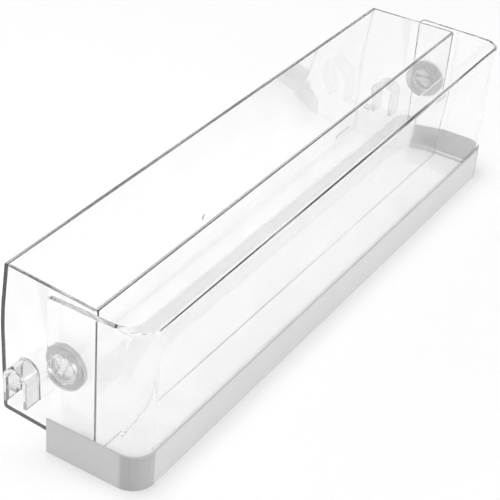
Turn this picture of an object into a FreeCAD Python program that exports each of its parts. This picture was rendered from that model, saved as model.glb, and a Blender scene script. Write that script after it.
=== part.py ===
import FreeCAD, Part
import math
import os
import Sketcher
from FreeCAD import Vector

# Fridge door shelf. A clear tub hangs on the door by two arched hooks; a clear
# front panel with wings is pinned to the tub's ends and carries a satin trim
# band round its foot. Millimetres, +X along the shelf, +Y to the door, +Z up.
# Origin: centre of the footprint, at the trim band's lower edge. Sketches count Y
# from the wings' rear edges; seat_y moves every piece to the footprint's centre.

doc = FreeCAD.newDocument("FridgeDoorShelf")

DIMS = [
    ("seat_y", 13.8),
    # tub, outer faces; its ends splay towards the front and lean out by their draft
    ("end_gap", 6.65), ("tub_splay", 0.0635), ("tub_draft", 0.01344),
    ("tub_bottom_z", 4.1), ("tub_back_rim_y", 37.8), ("tub_back_rim_z", 115.05),
    ("tub_back_foot_y", 42.8), ("tub_back_bend_z", 75.0),
    ("tub_front_rim_y", -31.8), ("tub_rim_fall", 1.0), ("tub_front_foot_y", -30.7),
    ("tub_wall", 2.4), ("tub_bend_r", 208.0), ("tub_heel_r", 3.0), ("tub_end_r", 0.8), ("tub_front_r", 2.5),
    ("tub_inner_r", 0.6), ("rim_r", 0.7), ("can_floor_gap", 0.3),
    # hanging hooks on the tub's ends
    ("hook_y", 20.9), ("hook_half", 8.7), ("hook_foot_z", 26.6), ("hook_top_z", 53.0),
    ("hook_wall", 2.4), ("hook_proud", 3.3), ("hook_toe_len", 6.4), ("hook_toe_h", 3.2), ("hook_toe_out", 4.3),
    ("hook_root_r", 0.8), ("hook_edge_r", 0.4),
    # round bosses between tub and wings, and the pins
    ("boss_y", -11.2), ("boss_z", 66.7), ("boss_r", 14.7), ("boss_bore_r", 9.6),
    ("wing_ring_r", 14.4), ("wing_ring_t", 2.0), ("ring_gap", 0.15),
    ("pin_head_r", 10.2), ("pin_fit", 0.3), ("pin_end_gap", 0.9), ("pin_dish_r", 9.2), ("pin_dish", 0.9),
    ("pin_pocket_r", 7.8), ("pin_pocket_deep", 4.6), ("pin_bar_w", 3.0),
    ("pin_left_deg", 22.0), ("pin_right_deg", 84.0), ("pin_lead_r", 0.5),
    # front panel, outer faces
    ("panel_len", 470.0), ("panel_top_z", 114.6), ("panel_bottom_z", 1.5), ("panel_top_y", -70.4),
    ("panel_foot_y", -67.8), ("panel_wall", 2.4), ("panel_front_wall", 2.2), ("panel_swell", 0.5),
    ("panel_swell_z", 80.0), ("panel_corner_r", 14.0), ("panel_inner_r", 11.4), ("wing_corner_r", 4.6),
    ("lip_y", -58.3), ("lip_t", 2.4), ("lip_inner_r", 11.2), ("lip_root_r", 0.5), ("edge_r", 2.0),
    # trim band
    ("band_h", 26.0), ("band_t", 1.1), ("band_gap", 0.3), ("band_rear_y", -1.0), ("band_edge_r", 0.45),
    ("pad_w", 14.0), ("pad_h", 9.0), ("pad_z", 14.0), ("pad_inset", 85.0), ("pad_wing_y", -18.0),
    # moulding marks on the back wall
    ("mark_inset", 27.0), ("mark_z", 12.5), ("mark_len", 23.0), ("mark_w", 3.4), ("mark_t", 0.5),
    ("gate_x", -5.0), ("gate_z", 33.6), ("gate_r", 2.6), ("gate_t", 0.7),
    # working values: cutters run past the faces, joined parts reach into each other
    ("past", 20.0), ("sink", 0.9), ("root", 0.5),
]

sheet = doc.addObject("Spreadsheet::Sheet", "dims")
for row, (alias, value) in enumerate(DIMS, 1):
    sheet.set(f"A{row}", alias)
    sheet.set(f"B{row}", str(value))
    sheet.setAlias(f"B{row}", alias)
doc.recompute()
D = dict(DIMS)


def body_named(name, label):
    body = doc.addObject("PartDesign::Body", name)
    body.Label = label
    body.Placement = FreeCAD.Placement()
    body.setExpression("Placement.Base.y", "dims.seat_y")
    return body


def origin_plane(body, role):
    return next(o for o in body.Origin.OriginFeatures if o.Role == role)


def sketch_on(body, role, name, offset=None):
    sk = body.newObject("Sketcher::SketchObject", name)
    sk.AttachmentSupport = [(origin_plane(body, role), "")]
    sk.MapMode = "FlatFace"
    if offset:
        sk.setExpression("AttachmentOffset.Base.z", offset)
    return sk


def q(text):
    # a formula on the sheet's names
    for alias in sorted(D, key=len, reverse=True):
        text = text.replace(f"<{alias}>", f"dims.{alias}")
    return text


def val(text):
    for alias in D:
        text = text.replace(f"<{alias}>", f"({D[alias]!r})")
    return FreeCAD.Units.Quantity(text).Value


def polygon(sk, points, tag="p", arcs=None):
    # closed outline; every corner held by two driving formulas. arcs gives the radius
    # of a side that is an arc, with its centre to the right of the way round
    start = sk.GeometryCount
    n = len(points)
    arcs = arcs or {}
    xy = [Vector(val(a), val(b), 0) for a, b in points]
    first = [2 if i in arcs else 1 for i in range(n)]
    for i in range(n):
        a, b = xy[i], xy[(i + 1) % n]
        if i in arcs:
            r, way = val(arcs[i]), (b - a).normalize()
            depth = math.sqrt(r * r - ((b - a).Length / 2) ** 2)
            centre = (a + b) / 2 + Vector(way.y, -way.x, 0) * depth
            lo, hi = (math.atan2(v.y - centre.y, v.x - centre.x) for v in (b, a))
            sk.addGeometry(Part.ArcOfCircle(Part.Circle(centre, Vector(0, 0, 1), r), lo, hi), False)
        else:
            sk.addGeometry(Part.LineSegment(a, b), False)
    for i in range(n):
        k = (i + 1) % n
        sk.addConstraint(Sketcher.Constraint("Coincident", start + i, 3 - first[i], start + k, first[k]))
    for i, (a, b) in enumerate(points):
        for kind, form, value in (("DistanceX", a, xy[i].x), ("DistanceY", b, xy[i].y)):
            k = sk.addConstraint(Sketcher.Constraint(kind, -1, 1, start + i, first[i], value))
            sk.renameConstraint(k, f"{tag}{i}{kind[-1].lower()}")
            sk.setExpression(f"Constraints.{tag}{i}{kind[-1].lower()}", q(form))
    for i, form in arcs.items():
        k = sk.addConstraint(Sketcher.Constraint("Radius", start + i, val(form)))
        sk.renameConstraint(k, f"{tag}{i}r")
        sk.setExpression(f"Constraints.{tag}{i}r", q(form))


def circle(sk, cx, cy, r, tag="c"):
    g = sk.addGeometry(Part.Circle(Vector(val(cx), val(cy), 0), Vector(0, 0, 1), val(r)), False)
    for kind, form, end in (("DistanceX", cx, "x"), ("DistanceY", cy, "y")):
        k = sk.addConstraint(Sketcher.Constraint(kind, -1, 1, g, 3, val(form)))
        sk.renameConstraint(k, tag + end)
        sk.setExpression(f"Constraints.{tag}{end}", q(form))
    k = sk.addConstraint(Sketcher.Constraint("Radius", g, val(r)))
    sk.renameConstraint(k, tag + "r")
    sk.setExpression(f"Constraints.{tag}r", q(r))


def pad(body, sk, length, name, midplane=False, reverse=False, cut=False):
    f = body.newObject("PartDesign::Pocket" if cut else "PartDesign::Pad", name)
    f.Profile = sk
    f.setExpression("Length", q(length))
    f.Midplane = midplane
    f.Reversed = reverse
    sk.Visibility = False
    doc.recompute()
    return f


def near(a, b, tol=0.05):
    return abs(a - b) < tol


def edges_of(shape, test):
    return [f"Edge{i}" for i, e in enumerate(shape.Edges, 1) if test(e)]


def ends(e):
    return e.Vertexes[0].Point, e.Vertexes[-1].Point


def round_off(body, base, test, radius, name):
    names = edges_of(base.Shape, test)
    if not names:
        raise ValueError(f"{name}: no edge found")
    f = body.newObject("PartDesign::Fillet", name)
    f.Base = (base, names)
    f.setExpression("Radius", q(radius))
    doc.recompute()
    return f


def mid(e):
    return e.valueAt((e.FirstParameter + e.LastParameter) / 2)


HALF_LEN = "(<panel_len>/2)"
WING_INNER = "(<panel_len>/2-<panel_wall>)"


def end_x(y, z="<tub_bottom_z>"):
    # half the tub's outer length at a given depth and height
    return f"({WING_INNER}-<end_gap>-<tub_splay>*({y})+<tub_draft>*(({z})-<tub_bottom_z>))"


def front_y(z, out="0"):
    # the panel's front leans: its foot stands behind its top
    return f"<panel_foot_y>+(<panel_top_y>-<panel_foot_y>)*({z})/<panel_top_z>+{out}"


def lengthwise(y, z, tol=0.3):
    # edges along X through one corner of a profile
    return lambda e: near(ends(e)[0].y, ends(e)[1].y) and near(ends(e)[0].z, ends(e)[1].z) \
        and near(mid(e).y, y, tol) and near(mid(e).z, z, tol)


# Tub: floor, bent back wall, end walls and front wall in one moulding.
tub = body_named("tub", "Clear tub with hooks")
sk = sketch_on(tub, "XY_Plane", "tub_plan", q("<tub_bottom_z>"))
reach = "(<tub_back_foot_y>+2*<past>)"
wide, slim = end_x(f"-{reach}"), end_x(reach)
polygon(sk, [(wide, f"-{reach}"), (slim, reach), (f"-{slim}", reach), (f"-{wide}", f"-{reach}")])
block = pad(tub, sk, "<tub_back_rim_z>-<tub_bottom_z>+<past>", "tub_block")
draft = tub.newObject("PartDesign::Draft", "tub_draft")
draft.Base = (block, [f"Face{i}" for i, g in enumerate(block.Shape.Faces, 1)
                      if abs(g.CenterOfMass.x) > val(end_x("0")) / 2])
draft.NeutralPlane = (block, [f"Face{i}" for i, g in enumerate(block.Shape.Faces, 1)
                              if near(g.BoundBox.ZMax, D["tub_bottom_z"])])
draft.setExpression("Angle", "atan(dims.tub_draft)")
draft.Reversed = True
doc.recompute()

sk = sketch_on(tub, "YZ_Plane", "tub_profile")
far, high = "(<tub_back_foot_y>+4*<past>)", "(<tub_back_rim_z>+2*<past>)"
polygon(sk, [(f"-{far}", "-<past>"), (far, "-<past>"), (far, high), (f"-{far}", high)], "o")
polygon(sk, [
    ("<tub_front_foot_y>", "<tub_bottom_z>"), ("<tub_back_foot_y>", "<tub_bottom_z>"),
    ("<tub_back_foot_y>", "<tub_back_bend_z>"), ("<tub_back_rim_y>", "<tub_back_rim_z>"),
    ("<tub_front_rim_y>", "<tub_back_rim_z>-<tub_rim_fall>")], "i")
f = pad(tub, sk, "<panel_len>+4*<past>", "tub_outline", midplane=True, cut=True)
f = round_off(tub, f, lengthwise(D["tub_back_foot_y"], D["tub_bottom_z"]), "<tub_heel_r>", "tub_heel")
f = round_off(tub, f, lengthwise(D["tub_back_foot_y"], D["tub_back_bend_z"]), "<tub_bend_r>", "tub_bend")


def on_end(e, inset, below):
    # edges that lie on an end wall's face, the open top left out
    a, b = ends(e)
    flush = all(near(abs(v.x), val(end_x(f"({v.y!r})", f"({v.z!r})")) - inset, 0.1) for v in (a, mid(e), b))
    return flush and min(a.z, b.z) < below


brim = D["tub_back_rim_z"] - D["tub_rim_fall"] - D["root"]
shell = tub.newObject("PartDesign::Thickness", "tub_shell")
shell.Base = (f, [f"Face{i}" for i, g in enumerate(f.Shape.Faces, 1) if g.BoundBox.ZMin > brim - D["root"]])
shell.setExpression("Value", q("<tub_wall>"))
shell.Mode = 0
shell.Join = 0
shell.Reversed = True
doc.recompute()


def front_corner(e):
    return abs(ends(e)[0].z - ends(e)[1].z) > 5 and mid(e).y < D["tub_front_foot_y"] + 2 * D["tub_front_r"]


f = round_off(tub, shell, lambda e: on_end(e, 0, brim) and front_corner(e), "<tub_front_r>", "tub_front_corners")
f = round_off(tub, f, lambda e: on_end(e, 0, brim) and not front_corner(e), "<tub_end_r>", "tub_ends")
f = round_off(tub, f, lambda e: on_end(e, D["tub_wall"], brim), "<tub_inner_r>", "tub_inner_corners")
f = round_off(tub, f, lambda e: min(v.z for v in ends(e)) > brim, "<rim_r>", "tub_rim")

# The floor runs on in front of the tub and carries the can row inside the front panel.
sk = sketch_on(tub, "XY_Plane", "can_floor_plan", q("<tub_bottom_z>"))
floor_front = f"({front_y('<tub_bottom_z>')}+<panel_front_wall>+<can_floor_gap>)"
floor_end = f"({WING_INNER}-<can_floor_gap>)"
floor_back = "(<tub_front_foot_y>+<tub_wall>/2)"
polygon(sk, [(floor_end, floor_front), (floor_end, floor_back),
             (f"-{floor_end}", floor_back), (f"-{floor_end}", floor_front)])
f = pad(tub, sk, "<tub_wall>", "can_floor")
f = round_off(tub, f, lambda e: near(mid(e).y, val(floor_front)) and near(abs(mid(e).x), val(floor_end))
              and abs(ends(e)[0].z - ends(e)[1].z) > 1, "<panel_inner_r>-<can_floor_gap>", "can_floor_corners")

# Round boss on each end, bored for the pin, flat against the wing's ring.
seam = f"({WING_INNER}-<wing_ring_t>-<ring_gap>)"
sk = sketch_on(tub, "YZ_Plane", "boss_ring", q(seam))
circle(sk, "<boss_y>", "<boss_z>", "<boss_r>", "a")
circle(sk, "<boss_y>", "<boss_z>", "<boss_bore_r>", "b")
boss = pad(tub, sk, f"{seam}-({end_x('<boss_y>', '<boss_z>')}-<tub_wall>/2)", "boss", reverse=True)

# Hanging hook on each end: an arched strap, open below and outwards.
hook_end = f"({HALF_LEN}+<hook_proud>)"
hook_root = f"({end_x('<hook_y>', '(<hook_foot_z>+<hook_top_z>)/2')}-<tub_wall>/2)"
sk = sketch_on(tub, "YZ_Plane", "hook_arch", q(hook_end))
cy, cz = D["hook_y"], D["hook_top_z"] - D["hook_half"]
for tag, half in (("o", "<hook_half>"), ("i", "(<hook_half>-<hook_wall>)")):
    r = val(half)
    ring = Part.Circle(Vector(cy, cz, 0), Vector(0, 0, 1), r)
    g = sk.addGeometry(Part.ArcOfCircle(ring, 0, math.pi), False)
    for leg, side in (("r", 1), ("l", -1)):
        a, b = Vector(cy + side * r, cz, 0), Vector(cy + side * r, D["hook_foot_z"], 0)
        k = sk.addGeometry(Part.LineSegment(a, b), False)
        sk.addConstraint(Sketcher.Constraint("Coincident", k, 1, g, 1 if side > 0 else 2))
        sk.addConstraint(Sketcher.Constraint("Vertical", k))
        c = sk.addConstraint(Sketcher.Constraint("DistanceY", -1, 1, k, 2, D["hook_foot_z"]))
        sk.renameConstraint(c, f"{tag}{leg}foot")
        sk.setExpression(f"Constraints.{tag}{leg}foot", q("<hook_foot_z>"))
    for kind, form, end in (("DistanceX", "<hook_y>", "x"), ("DistanceY", "<hook_top_z>-<hook_half>", "y")):
        c = sk.addConstraint(Sketcher.Constraint(kind, -1, 1, g, 3, val(form)))
        sk.renameConstraint(c, f"{tag}c{end}")
        sk.setExpression(f"Constraints.{tag}c{end}", q(form))
    c = sk.addConstraint(Sketcher.Constraint("Radius", g, r))
    sk.renameConstraint(c, f"{tag}rad")
    sk.setExpression(f"Constraints.{tag}rad", q(half))
for outer, inner in ((1, 4), (2, 5)):
    a, b = sk.Geometry[outer].EndPoint, sk.Geometry[inner].EndPoint
    k = sk.addGeometry(Part.LineSegment(a, b), False)
    sk.addConstraint(Sketcher.Constraint("Coincident", k, 1, outer, 2))
    sk.addConstraint(Sketcher.Constraint("Coincident", k, 2, inner, 2))
hook = pad(tub, sk, f"{hook_end}-{hook_root}", "hook", reverse=True)
toe_face = f"({end_x('<hook_y>')}+<hook_toe_out>)"
toe_root, toe_tip = "<hook_y>+<hook_half>-<hook_wall>/2", "<hook_y>+<hook_half>+<hook_toe_len>"
sk = sketch_on(tub, "YZ_Plane", "hook_toe_outline", q(toe_face))
polygon(sk, [(toe_root, "<hook_foot_z>"), (toe_tip, "<hook_foot_z>"),
             (toe_tip, "<hook_foot_z>+<hook_toe_h>/2"), (toe_root, "<hook_foot_z>+<hook_toe_h>")])
toe = pad(tub, sk, f"{toe_face}-{hook_root}+<root>", "hook_toe", reverse=True)

twin = tub.newObject("PartDesign::Mirrored", "other_end")
twin.Originals = [boss, hook, toe]
twin.MirrorPlane = (origin_plane(tub, "YZ_Plane"), [""])
tub.Tip = twin
doc.recompute()


def hook_root_edge(e):
    # the hook's outline on the end wall
    a, b = ends(e)
    flush = all(near(abs(v.x), val(end_x(f"({v.y!r})", f"({v.z!r})")), 0.02) for v in (a, mid(e), b))
    return flush and abs(mid(e).y - D["hook_y"]) < D["hook_half"] + 0.1 and mid(e).z > D["hook_foot_z"] + 1


f = round_off(tub, twin, hook_root_edge, "<hook_root_r>", "hook_roots")
f = round_off(tub, f, lambda e: near(abs(ends(e)[0].x), val(hook_end)) and near(abs(ends(e)[1].x), val(hook_end))
              and mid(e).z > D["hook_foot_z"] + 1, "<hook_edge_r>", "hook_edges")
tub.Tip = f
doc.recompute()

# Moulding marks inside the back wall: a long oval near one end, a gate nub mid-length.
sk = sketch_on(tub, "XZ_Plane", "oval_mark", q("-<tub_back_foot_y>+<tub_wall>+<mark_t>"))
half_l, half_w = "(<mark_len>/2)", "(<mark_w>/2)"
mark_x = f"({end_x('0')}-<mark_inset>)"
polygon(sk, [
    (f"{mark_x}-{half_l}", f"<mark_z>-{half_w}"), (f"{mark_x}+{half_l}", f"<mark_z>-{half_w}"),
    (f"{mark_x}+{half_l}", f"<mark_z>+{half_w}"), (f"{mark_x}-{half_l}", f"<mark_z>+{half_w}")])
oval = pad(tub, sk, "<mark_t>+<sink>", "oval_pad", reverse=True)


def oval_corner(e):
    a, b = ends(e)
    return near(a.x, b.x) and near(a.z, b.z) and near(abs(mid(e).x - val(mark_x)), D["mark_len"] / 2) \
        and near(abs(mid(e).z - D["mark_z"]), D["mark_w"] / 2)


oval = round_off(tub, oval, oval_corner, "<mark_w>/2*0.94", "oval_ends")
sk = sketch_on(tub, "XZ_Plane", "gate_mark", q("-<tub_back_foot_y>+<tub_wall>+<gate_t>"))
circle(sk, "<gate_x>", "<gate_z>", "<gate_r>")
gate = pad(tub, sk, "<gate_t>+<sink>", "gate_nub", reverse=True)
tub.Tip = gate
doc.recompute()

# Front panel: leaning front wall, wings and the lip on top; open below.
panel = body_named("front_panel", "Clear front panel")
sk = sketch_on(panel, "YZ_Plane", "panel_side")
polygon(sk, [
    ("0", "<panel_bottom_z>"), (front_y("<panel_bottom_z>"), "<panel_bottom_z>"),
    (front_y("<panel_top_z>"), "<panel_top_z>"), ("0", "<panel_top_z>")])
slab = pad(panel, sk, "<panel_len>", "panel_block", midplane=True)


def upright(e, y, x):
    # near-vertical edges at a given distance from the middle
    a, b = ends(e)
    return abs(a.z - b.z) > 2 and near(abs(mid(e).x), x, 0.3) and near(mid(e).y, y, 2.0)


sk = sketch_on(panel, "YZ_Plane", "panel_inside")
under = "(<panel_top_z>-<lip_t>)"
rise = f"({under}-<panel_swell_z>)"
swell_r = f"(({rise}*{rise}+<panel_swell>*<panel_swell>)/(2*<panel_swell>))"
polygon(sk, [
    ("<past>", "-<past>"), (front_y("-<past>", "<panel_front_wall>"), "-<past>"),
    (front_y("<panel_swell_z>", "<panel_front_wall>"), "<panel_swell_z>"),
    (front_y(under, "<panel_front_wall>+<panel_swell>"), under),
    ("<lip_y>", under), ("<lip_y>", "<panel_top_z>+<past>"), ("<past>", "<panel_top_z>+<past>")],
    arcs={2: swell_r})
hollow = pad(panel, sk, "<panel_len>-2*<panel_wall>", "panel_hollow", midplane=True, cut=True)
half = D["panel_len"] / 2
inner = half - D["panel_wall"]
f = round_off(panel, hollow, lambda e: near(mid(e).y, D["lip_y"]) and near(abs(mid(e).x), inner)
              and abs(ends(e)[0].z - ends(e)[1].z) > 1, "<lip_inner_r>", "lip_corners")
front = (D["panel_top_y"] + D["panel_foot_y"]) / 2
f = round_off(panel, f, lambda e: upright(e, front + D["panel_front_wall"], inner),
              "<panel_inner_r>", "inner_corners")
f = round_off(panel, f, lambda e: upright(e, front, half), "<panel_corner_r>", "panel_corners")
f = round_off(panel, f, lambda e: near(abs(ends(e)[0].x - ends(e)[1].x), D["panel_wall"])
              and near(mid(e).y, 0) and near(mid(e).z, D["panel_top_z"]), "<wing_corner_r>", "wing_corners")
f = round_off(panel, f, lambda e: near(mid(e).z, D["panel_top_z"] - D["lip_t"])
              and mid(e).y < D["lip_y"] - D["lip_t"], "<lip_root_r>", "lip_root")


def outer_top(e):
    # the upper outline seen from outside: top edge, wing corners and wings' rear edges
    m = mid(e)
    outside = near(abs(m.x), half, 0.02) or (m.z > D["panel_top_z"] - 0.02 and m.y < D["lip_y"] - 3)
    return outside and m.y > -80 and not near(m.y, -55.1, 1.3) and not near(m.z, D["panel_bottom_z"])


f = round_off(panel, f, outer_top, "<edge_r>", "panel_edge")

# Ring inside each wing, flat along the wing's rear edge, with the pin's hole through both.
sk = sketch_on(panel, "YZ_Plane", "wing_ring", q(WING_INNER))
circle(sk, "<boss_y>", "<boss_z>", "<wing_ring_r>")
ring = pad(panel, sk, "<wing_ring_t>", "wing_ring_disc", reverse=True)
twin = panel.newObject("PartDesign::Mirrored", "other_ring")
twin.Originals = [ring]
twin.MirrorPlane = (origin_plane(panel, "YZ_Plane"), [""])
panel.Tip = twin
doc.recompute()
sk = sketch_on(panel, "YZ_Plane", "ring_flat")
polygon(sk, [("0", "0"), ("<past>", "0"), ("<past>", "<panel_top_z>+<past>"), ("0", "<panel_top_z>+<past>")])
pad(panel, sk, "<panel_len>+<past>", "ring_flat_cut", midplane=True, cut=True)
sk = sketch_on(panel, "YZ_Plane", "pin_hole")
circle(sk, "<boss_y>", "<boss_z>", "<pin_head_r>+<pin_fit>")
f = pad(panel, sk, "<panel_len>+<past>", "pin_holes", midplane=True, cut=True)

# Flat landing pads that carry the trim band, three in front and one on each wing.
low, high = "(<pad_z>-<pad_h>/2)", "(<pad_z>+<pad_h>/2)"
for name, offset, both in (("mid_pad", "-<pad_w>/2", False), ("side_pad", f"{HALF_LEN}-<pad_inset>-<pad_w>/2", True)):
    sk = sketch_on(panel, "YZ_Plane", f"{name}_side", q(offset))
    polygon(sk, [(front_y(low, "<sink>"), low), (front_y(low, "-<band_gap>"), low),
                 (front_y(high, "-<band_gap>"), high), (front_y(high, "<sink>"), high)])
    f = pad(panel, sk, "<pad_w>", name)
    side_pad = f
sk = sketch_on(panel, "YZ_Plane", "wing_pad_side", q("<panel_len>/2+<band_gap>"))
polygon(sk, [("<pad_wing_y>-<pad_w>/2", low), ("<pad_wing_y>+<pad_w>/2", low),
             ("<pad_wing_y>+<pad_w>/2", high), ("<pad_wing_y>-<pad_w>/2", high)])
wing_pad = pad(panel, sk, "<band_gap>+<sink>", "wing_pad", reverse=True)
twin = panel.newObject("PartDesign::Mirrored", "other_pads")
twin.Originals = [side_pad, wing_pad]
twin.MirrorPlane = (origin_plane(panel, "YZ_Plane"), [""])
panel.Tip = twin
doc.recompute()

# Trim band round the panel's foot, leaning with it.
band = body_named("trim_band", "Satin trim band")
outer_len = "(<panel_len>+2*<band_gap>+2*<band_t>)"
inner_len = "(<panel_len>+2*<band_gap>)"
outset = "-(<band_gap>+<band_t>)"
sk = sketch_on(band, "YZ_Plane", "band_side")
polygon(sk, [("<band_rear_y>", "0"), (front_y("0", outset), "0"),
             (front_y("<band_h>", outset), "<band_h>"), ("<band_rear_y>", "<band_h>")])
block = pad(band, sk, outer_len, "band_block", midplane=True)
sk = sketch_on(band, "YZ_Plane", "band_inside")
high = "(<band_h>+<past>)"
polygon(sk, [("<past>", "-<past>"), (front_y("(-<past>)", "-<band_gap>"), "-<past>"),
             (front_y(high, "-<band_gap>"), high), ("<past>", high)])
f = pad(band, sk, inner_len, "band_hollow", midplane=True, cut=True)
half_in = half + D["band_gap"]
half_out = half_in + D["band_t"]
front = D["panel_foot_y"]
in_r, out_r = "<panel_corner_r>+<band_gap>", "<panel_corner_r>+<band_gap>+<band_t>"
f = round_off(band, f, lambda e: upright(e, front, half_in), in_r, "band_inner_corners")
f = round_off(band, f, lambda e: upright(e, front, half_out), out_r, "band_corners")


def band_rim(e):
    m = mid(e)
    on_corner = abs(m.x) > half_out - 5 and m.y < front + 5
    outside = near(abs(m.x), half_out, 0.02) or m.y < front - D["band_t"] or on_corner
    return outside and near(m.z, D["band_h"], 0.02)


f = round_off(band, f, band_rim, "<band_edge_r>", "band_edge")
band.Tip = f
doc.recompute()


def lock_pin(name, label, side, angle):
    # round pin: head in the wing's hole, shank in the tub's boss, grip bar across the dish
    pin = body_named(name, label)
    plane = "<panel_len>/2" if side > 0 else "-<panel_len>/2"
    inward = "-" if side > 0 else "+"
    back = side > 0

    def ring_sketch(tag, depth):
        return sketch_on(pin, "YZ_Plane", f"{name}_{tag}", q(f"{plane}{inward}({depth})"))

    sk = ring_sketch("head", "0")
    circle(sk, "<boss_y>", "<boss_z>", "<pin_head_r>")
    pad(pin, sk, "<panel_wall>+<wing_ring_t>", f"{name}_disc", reverse=back)
    shank = f"({seam}+<ring_gap>-{end_x('<boss_y>', '<boss_z>')}-<pin_end_gap>)"
    sk = ring_sketch("shank", "<panel_wall>+<wing_ring_t>-<root>")
    circle(sk, "<boss_y>", "<boss_z>", "<boss_bore_r>-<pin_fit>")
    body_end = pad(pin, sk, f"{shank}+<root>", f"{name}_stem", reverse=back)
    f = round_off(pin, body_end, lambda e: near(abs(mid(e).x), val(seam) + D["ring_gap"] - val(shank))
                  and e.Curve.TypeId == "Part::GeomCircle", "<pin_lead_r>", f"{name}_lead")
    sk = ring_sketch("dish", "0")
    circle(sk, "<boss_y>", "<boss_z>", "<pin_dish_r>")
    pad(pin, sk, "<pin_dish>", f"{name}_dish_cut", reverse=not back, cut=True)
    sk = ring_sketch("pockets", "<pin_dish>")
    circle(sk, "<boss_y>", "<boss_z>", "<pin_pocket_r>")
    pad(pin, sk, "<pin_pocket_deep>", f"{name}_pockets_cut", reverse=not back, cut=True)
    sk = ring_sketch("bar", "<pin_dish>")
    sk.setExpression("AttachmentOffset.Base.x", q("<boss_y>"))
    sk.setExpression("AttachmentOffset.Base.y", q("<boss_z>"))
    sk.setExpression("AttachmentOffset.Rotation.Angle", q(f"<{angle}>"))
    w, l = "(<pin_bar_w>/2)", "(<pin_pocket_r>+<root>)"
    polygon(sk, [(f"-{w}", f"-{l}"), (w, f"-{l}"), (w, l), (f"-{w}", l)])
    bar = pad(pin, sk, "<pin_pocket_deep>+<root>", f"{name}_grip_bar", reverse=back)
    pin.Tip = bar
    doc.recompute()
    return pin


left_pin = lock_pin("left_lock_pin", "Left lock pin", -1, "pin_left_deg")
right_pin = lock_pin("right_lock_pin", "Right lock pin", 1, "pin_right_deg")

doc.recompute()
for obj in doc.Objects:
    faults = [word for word in obj.State if word in ("Invalid", "Error")]
    if faults:
        raise ValueError(f"{obj.Name}: {faults}")
os.makedirs("parts", exist_ok=True)
for body in (tub, panel, band, left_pin, right_pin):
    if body.Shape.isNull() or not body.Shape.isValid() or len(body.Shape.Solids) != 1:
        raise ValueError(f"{body.Name}: shape")
    body.Shape.exportStep(f"parts/{body.Name}.step")
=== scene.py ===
import math

import bpy
import numpy as np
from mathutils import Matrix, Vector

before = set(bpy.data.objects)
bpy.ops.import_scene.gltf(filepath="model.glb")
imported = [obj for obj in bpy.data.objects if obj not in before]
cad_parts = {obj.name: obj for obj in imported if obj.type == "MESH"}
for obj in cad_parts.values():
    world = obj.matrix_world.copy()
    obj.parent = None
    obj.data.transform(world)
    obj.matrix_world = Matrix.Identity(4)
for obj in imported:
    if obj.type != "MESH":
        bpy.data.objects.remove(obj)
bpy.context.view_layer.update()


# Tub. One clear injection moulding of hard polystyrene: floor, four walls, the round
# bosses and the two arched hooks that drop over the door's lugs. Polished in the tool,
# so it is bright, with faint clouds in the walls and hairline rubs from use.
class Wire:
    """A shader socket that takes part in sums: each operator adds one Math node to its finish."""

    def __init__(self, finish, socket):
        self.finish, self.socket = finish, socket

    def sum_with(self, operation, first, second=0.0):
        return self.finish.add("Math", {"operation": operation}, in0=first, in1=second)

    def __add__(self, other):
        return self.sum_with("ADD", self, other)

    def __radd__(self, other):
        return self.sum_with("ADD", other, self)

    def __sub__(self, other):
        return self.sum_with("SUBTRACT", self, other)

    def __rsub__(self, other):
        return self.sum_with("SUBTRACT", other, self)

    def __mul__(self, other):
        return self.sum_with("MULTIPLY", self, other)

    def __rmul__(self, other):
        return self.sum_with("MULTIPLY", other, self)

    def most(self, other):
        return self.sum_with("MAXIMUM", self, other)

    def size(self):
        return self.sum_with("ABSOLUTE", self)

    def root(self):
        return self.sum_with("SQRT", self)

    def band(self, low, high):
        """Smooth step: nought below low, one above high."""
        return self.finish.add("MapRange", {"interpolation_type": "SMOOTHSTEP"},
                               Value=self, From_Min=low, From_Max=high)


class Finish:
    """A material or world under construction, whose every node comes from one method."""

    def __init__(self, owner):
        owner.use_nodes = True
        self.owner, self.tree = owner, owner.node_tree
        self.tree.nodes.clear()

    def add(self, kind, settings=None, out=0, **sockets):
        """Adds a node: its settings first, then the values or wires of its sockets, which go
        by name, with _ for a space, or by number, as in0 or in1."""
        node = self.tree.nodes.new("ShaderNode" + kind)
        for key, value in (settings or {}).items():
            setattr(node, key, value)
        for key, value in sockets.items():
            numbered = key.startswith("in") and key[2:].isdigit()
            socket = node.inputs[int(key[2:]) if numbered else key.replace("_", " ")]
            if isinstance(value, Wire):
                self.tree.links.new(value.socket, socket)
            else:
                socket.default_value = value
        return Wire(self, node.outputs[out]) if node.outputs else None

    def blend(self, share, low, high):
        """A colour between low and high, each a grey level, a colour or a wire."""
        tones = [value if isinstance(value, (tuple, Wire)) else (value, value, value, 1.0)
                 for value in (low, high)]
        return self.add("Mix", {"data_type": "RGBA"}, out=2, in0=share, in6=tones[0], in7=tones[1])

    def place(self, *axes):
        """The object's own coordinates, as one wire per axis asked for."""
        spot = self.add("TexCoord", out="Object")
        return [self.add("SeparateXYZ", out=axis, Vector=spot) for axis in axes]


def material(name):
    return Finish(bpy.data.materials.new(name))


def node_corners(node):
    """Where the corners of a CAD node are, one row each."""
    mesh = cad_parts[node].data
    spots = np.empty(3 * len(mesh.vertices))
    mesh.vertices.foreach_get("co", spots)
    return spots.reshape(-1, 3)


def dress(node, finish):
    """Gives a CAD node one finish, in every material slot."""
    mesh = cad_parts[node].data
    if not mesh.materials:
        mesh.materials.append(finish.owner)
    for slot in range(len(mesh.materials)):
        mesh.materials[slot] = finish.owner


POLYSTYRENE_IOR = 1.58
LAMP_TONE = (0.998, 0.998, 0.998, 1.0)  # the share of a lamp's light that passes one face
BLACK = (0.0, 0.0, 0.0, 1.0)


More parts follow.
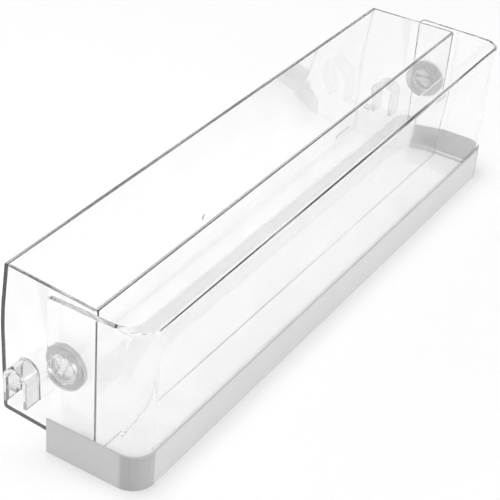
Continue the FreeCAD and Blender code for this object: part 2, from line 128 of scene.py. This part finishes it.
def clear_plastic(finish, tone, roughness, loss):
    """Clear moulded plastic: refracts, takes away a little light along its thickness (loss, per
    metre), and lets nearly all of the lamps' light pass each face."""
    plastic = finish.add("BsdfPrincipled", Base_Color=tone, Roughness=roughness,
                         IOR=POLYSTYRENE_IOR, Transmission_Weight=1.0)
    lamp_ray = finish.add("LightPath", out="Is Shadow Ray")
    let_through = finish.add("BsdfTransparent", Color=LAMP_TONE)
    shown = finish.add("MixShader", in0=lamp_ray, in1=plastic, in2=let_through)
    haze = finish.add("VolumeAbsorption", Color=BLACK, Density=loss)
    finish.add("OutputMaterial", Surface=shown, Volume=haze)
    return finish


pin_corners = node_corners("right_lock_pin")
PIN_FACE = pin_corners[:, 0].max()
PIN_Y, PIN_Z = (pin_corners[:, 1:].min(0) + pin_corners[:, 1:].max(0)) / 2
PIN_RADIUS = np.ptp(pin_corners[:, 1]) / 2
FROST_RADIUS, RADIUS_FADE = 1.47 * PIN_RADIUS, 0.0004
FROST_ROOT, ROOT_FADE = PIN_FACE - 0.0075, 0.0005  # the boss's end of the frosted ring
FROST_TOP, TOP_FADE = PIN_FACE - 0.0022, 0.0002  # its other end, inside the wing
FROST_TONES_WITH_SHADE = (0.62, 0.34)  # at the left and the right lock; the right one's darker grey is painted shade
FROST_ROUGHNESS = 0.35
MIDDLE = 0.1  # reach of the blend between the two locks' tones
CLOUD_DARKER, CLOUD_PALER = 0.012, 0.004
RUB_SLOPE, RUB_TONE, RUB_SHARE = 0.06, 0.90, 0.5


def worn_and_shaded_tone(finish, wall_tone):
    """Grey of a clear wall: cloudy by a hair, with a few rubbed streaks along it, and frosted
    where the lock's ring and boss meet, with painted shade making the right lock's frost darker
    than the left's. Returned with the frosted share."""
    x, y, z = finish.place("X", "Y", "Z")
    from_axis = ((y - PIN_Y) * (y - PIN_Y) + (z - PIN_Z) * (z - PIN_Z)).root()
    frost = (1.0 - from_axis.band(FROST_RADIUS, FROST_RADIUS + RADIUS_FADE)) \
        * x.size().band(FROST_ROOT, FROST_ROOT + ROOT_FADE) \
        * (1.0 - x.size().band(FROST_TOP, FROST_TOP + TOP_FADE))
    spot = finish.add("TexCoord", out="Object")
    cloud = finish.add("TexNoise", Vector=spot, Scale=34.0, Detail=3.0).band(0.40, 0.62)
    along = finish.add("CombineXYZ", X=x * 3.0, Y=y * 260.0, Z=(z + x * RUB_SLOPE) * 420.0)
    rubs = finish.add("TexNoise", Vector=along, Scale=1.0, Detail=1.0).band(0.74, 0.80)
    clean = finish.blend(cloud, wall_tone - CLOUD_DARKER, wall_tone + CLOUD_PALER)
    rubbed = finish.blend(rubs * RUB_SHARE, clean, RUB_TONE)
    # the right lock's ring gets a darker grey than the left's, as painted shade
    frosted = finish.blend(x.band(-MIDDLE, MIDDLE), *FROST_TONES_WITH_SHADE)
    return finish.blend(frost, rubbed, frosted), frost


TUB_TONE, TUB_LOSS = 0.980, 4.0
MARK = (0.19895, 0.05395, 0.0125)  # mid-height of the oval moulding mark's rim, whose dark outline is painted shade
MARK_REACH, MARK_FADE, MARK_SHADE_TONE = (0.012, 0.0001, 0.0021), 0.0002, 0.15
HOOK_FOOT_X, FOOT_FADE = 0.2264, 0.0004
HOOK_Y, HOOK_REACH, REACH_FADE = 0.0347, 0.0165, 0.001
HOOK_SHADE_TONE = 0.84
finish = material("tub_polystyrene")
tone, frost = worn_and_shaded_tone(finish, TUB_TONE)
# The mark's rim is painted dark, as painted shade, for the outline its edge draws in clear
# plastic.
near_mark = [1.0 - (axis - at).size().band(reach, reach + MARK_FADE)
             for axis, at, reach in zip(finish.place("X", "Y", "Z"), MARK, MARK_REACH)]
tone = finish.blend(near_mark[0] * near_mark[1] * near_mark[2], tone, MARK_SHADE_TONE)
# The arched hooks are painted grey, as painted shade, for the dark lines their edges draw in clear
# plastic.
x, y = finish.place("X", "Y")
hooks = x.size().band(HOOK_FOOT_X, HOOK_FOOT_X + FOOT_FADE) \
    * (1.0 - (y - HOOK_Y).size().band(HOOK_REACH, HOOK_REACH + REACH_FADE))
tone = finish.blend(hooks, tone, HOOK_SHADE_TONE)
dress("tub", clear_plastic(finish, tone, frost * FROST_ROUGHNESS, TUB_LOSS))

# Front panel. A second clear moulding, pinned to the tub's ends: leaning front wall, two
# wings and the lip that serves as grip. It is open below, where the tub's floor fills it.
PANEL_TONE, PANEL_LOSS = 0.995, 0.4
finish = material("panel_polystyrene")
tone, frost = worn_and_shaded_tone(finish, PANEL_TONE)
dress("front_panel", clear_plastic(finish, tone, frost * FROST_ROUGHNESS, PANEL_LOSS))

# Trim band. A thin satin silver-grey strip bent round the panel's foot and clipped on.
# Its paint has a fine metallic grain. The bends are painted darker in streaks, as painted shade,
# the top edge carries a painted shadow line, the inner side along the front is painted pale, as
# painted light, and the inner side at the right end is painted dark, as painted shade.
band_corners = node_corners("trim_band")
BEND = 0.0154  # how far a bend reaches from the strip's end and front
BEND_X = band_corners[:, 0].max() - BEND
BEND_Y = band_corners[:, 1].min() + BEND
FADE_IN, FADE_OUT = 0.002, 0.001  # of a bend's darker tone, to either side of where it starts
EDGE_Z, EDGE_FADE = band_corners[:, 2].max() - 0.0005, 0.0003
PAINT_TONES, GRAIN_SHARE = (0.575, 0.695), 0.6
BEND_SHADE_TONE, BEND_LEAST, BEND_STREAKS = 0.44, 0.55, 0.6
INNER_END_SHADE_TONE, INNER_FRONT_LIGHT_TONE, EDGE_SHADE_TONE = 0.50, 0.86, 0.50
SATIN_ROUGHNESS, GRAIN_ROUGHNESS = 0.42, 0.12
finish = material("band_satin")
x, y, z = finish.place("X", "Y", "Z")
spot = finish.add("TexCoord", out="Object")
grain = finish.add("TexNoise", Vector=spot, Scale=1500.0, Detail=2.0, Roughness=0.6)
cloud = finish.add("TexNoise", Vector=spot, Scale=22.0, Detail=2.0)
upright = finish.add("CombineXYZ", X=x * 900.0, Y=y * 900.0, Z=z * 12.0)
shade_streaks = finish.add("TexNoise", Vector=upright, Scale=1.0)
# The bends are painted darker, in streaks, as painted shade.
bend = x.size().band(BEND_X - FADE_OUT, BEND_X + FADE_IN) \
    * (1.0 - y.band(BEND_Y - FADE_IN, BEND_Y + FADE_OUT))
tone = finish.blend(grain * GRAIN_SHARE + cloud * (1.0 - GRAIN_SHARE), *PAINT_TONES)
tone = finish.blend(bend * (BEND_LEAST + shade_streaks * BEND_STREAKS), tone, BEND_SHADE_TONE)
normal = finish.add("TexCoord", out="Normal")
faces_x, faces_y = (finish.add("SeparateXYZ", out=axis, Vector=normal) for axis in "XY")
faces_middle = 1.0 - (faces_x * x).band(-0.2, -0.1)  # an end's inner side points back along X
inner_end = faces_middle * x.band(0.0, 0.1)
# The inner side of the right end is painted dark, as painted shade.
tone = finish.blend(inner_end, tone, INNER_END_SHADE_TONE)
# The inner side along the front is painted pale, as painted light, so its reflection in the clear
# walls stays faint.
tone = finish.blend(faces_y.band(0.6, 0.9), tone, INNER_FRONT_LIGHT_TONE)
# A painted shadow line along the strip's top edge.
tone = finish.blend(z.band(EDGE_Z, EDGE_Z + EDGE_FADE), tone, EDGE_SHADE_TONE)
bump = finish.add("Bump", Height=grain, Strength=0.25, Distance=0.00005)
paint = finish.add("BsdfPrincipled", Base_Color=tone, Normal=bump,
                   Roughness=SATIN_ROUGHNESS + grain * GRAIN_ROUGHNESS)
finish.add("OutputMaterial", Surface=paint)
dress("trim_band", finish)

# Lock pins. Small clear discs pushed through the wings into the tub's bosses and turned
# by the grip bar, one at each end. The right one looks darker in the photograph.
# The two pins are the same clear plastic; the right pin's darker tone is painted shade.
PIN_TONES_WITH_SHADE = {"left_lock_pin": 0.90, "right_lock_pin": 0.45}
PIN_CLOUD, PIN_ROUGHNESS, CLOUD_ROUGHNESS = 0.07, 0.02, 0.05
for pin, darkest in PIN_TONES_WITH_SHADE.items():
    finish = material(pin + "_plastic")
    spot = finish.add("TexCoord", out="Object")
    cloud = finish.add("TexNoise", Vector=spot, Scale=220.0, Detail=2.0)
    tone = finish.blend(cloud, darkest, darkest + PIN_CLOUD)
    dress(pin, clear_plastic(finish, tone, PIN_ROUGHNESS + cloud * CLOUD_ROUGHNESS, TUB_LOSS))

# Studio. A plain pale floor that keeps the shelf's shadow and turns plain white far off, soft
# boxes above and in front, and a white room that is dimmer overhead, so that the plastic's
# edges draw grey lines.
FLOOR_REACH = 6.0
SHADOW_REACH, WHITE_REACH = 0.5, 1.3  # the floor turns plain white between them
WHITE, PALE = (1.0, 1.0, 1.0, 1.0), (0.8, 0.8, 0.8, 1.0)
corners = np.array([(-1, -1, 0), (1, -1, 0), (1, 1, 0), (-1, 1, 0)], float) * FLOOR_REACH
floor_mesh = bpy.data.meshes.new("studio_floor")
floor_mesh.from_pydata(corners.tolist(), [], [(0, 1, 2, 3)])
floor = bpy.data.objects.new("studio_floor", floor_mesh)
bpy.context.scene.collection.objects.link(floor)
finish = material("floor_paper")
seen = finish.add("LightPath", out="Is Camera Ray")
for ray in ("Is Glossy Ray", "Is Transmission Ray"):
    seen = seen.most(finish.add("LightPath", out=ray))
x, y = finish.place("X", "Y")
far_off = (x * x + y * y).root().band(SHADOW_REACH, WHITE_REACH)
paper = finish.add("BsdfDiffuse", Color=finish.blend(seen, PALE, WHITE))
white = finish.add("Emission", Color=WHITE, Strength=1.0)
shown = finish.add("MixShader", in0=far_off * seen, in1=paper, in2=white)
finish.add("OutputMaterial", Surface=shown)
finish.owner.cycles.emission_sampling = "NONE"
floor_mesh.materials.append(finish.owner)

ROOM_LEVEL, CEILING_LEVEL = 1.03, 0.45
CEILING_START, CEILING_FULL = 0.30, 0.75  # height of a view line, as part of its length
bpy.context.scene.world = bpy.data.worlds.new("white_room")
room = Finish(bpy.context.scene.world)
height = room.add("SeparateXYZ", out="Z", Vector=room.add("TexCoord", out="Generated"))
level = ROOM_LEVEL - height.band(CEILING_START, CEILING_FULL) * (ROOM_LEVEL - CEILING_LEVEL)
by_camera = room.add("LightPath", out="Is Camera Ray")
walls = room.add("Background", Color=WHITE, Strength=by_camera + (1.0 - by_camera) * level)
room.add("OutputWorld", Surface=walls)


def soft_box(name, place, target, size, watts):
    """A square area lamp at place, turned to face target."""
    lamp = bpy.data.lights.new(name, "AREA")
    lamp.shape, lamp.size, lamp.energy = "SQUARE", size, watts
    thing = bpy.data.objects.new(name, lamp)
    thing.location = place
    thing.rotation_euler = (Vector(target) - Vector(place)).to_track_quat("-Z", "Y").to_euler()
    bpy.context.scene.collection.objects.link(thing)


soft_box("front_box", place=(0.8, -2.2, 0.55), target=(0.0, 0.0, 0.05), size=1.2, watts=17.0)
soft_box("top_box", place=(-0.3, 0.3, 1.9), target=(0.0, 0.0, 0.0), size=1.8, watts=16.8)

# Camera, at the photograph's own angle, distance and lens. Light may bounce often, because
# a view line crosses many clear walls.
TURN, TIP, ROLL = (math.radians(v) for v in (-60.5515, 33.8617, 4.7773))
EYE = Vector((-0.77202, -0.41812, 0.61279))
PHOTO_LENS, PHOTO_WIDTH = 1506.07, 500  # in the photograph's pixels
BOUNCES, CLEAR_BOUNCES = 96, 32
back = Vector((math.sin(TURN) * math.cos(TIP), -math.cos(TURN) * math.cos(TIP), math.sin(TIP)))
right = Vector((0, 0, 1)).cross(back).normalized()
up = back.cross(right)
rolled_right = math.cos(ROLL) * right + math.sin(ROLL) * up
rolled_up = math.cos(ROLL) * up - math.sin(ROLL) * right
lens = bpy.data.cameras.new("photo_lens")
lens.sensor_width = 36.0
lens.lens = PHOTO_LENS / PHOTO_WIDTH * lens.sensor_width
camera = bpy.data.objects.new("photo_camera", lens)
turn = Matrix((rolled_right, rolled_up, back)).transposed()
camera.matrix_world = Matrix.Translation(EYE) @ turn.to_4x4()
bpy.context.scene.collection.objects.link(camera)
bpy.context.scene.camera = camera
bpy.context.scene.view_settings.view_transform = "Standard"
bpy.context.scene.cycles.max_bounces = BOUNCES
bpy.context.scene.cycles.transmission_bounces = BOUNCES
bpy.context.scene.cycles.glossy_bounces = BOUNCES
bpy.context.scene.cycles.transparent_max_bounces = CLEAR_BOUNCES
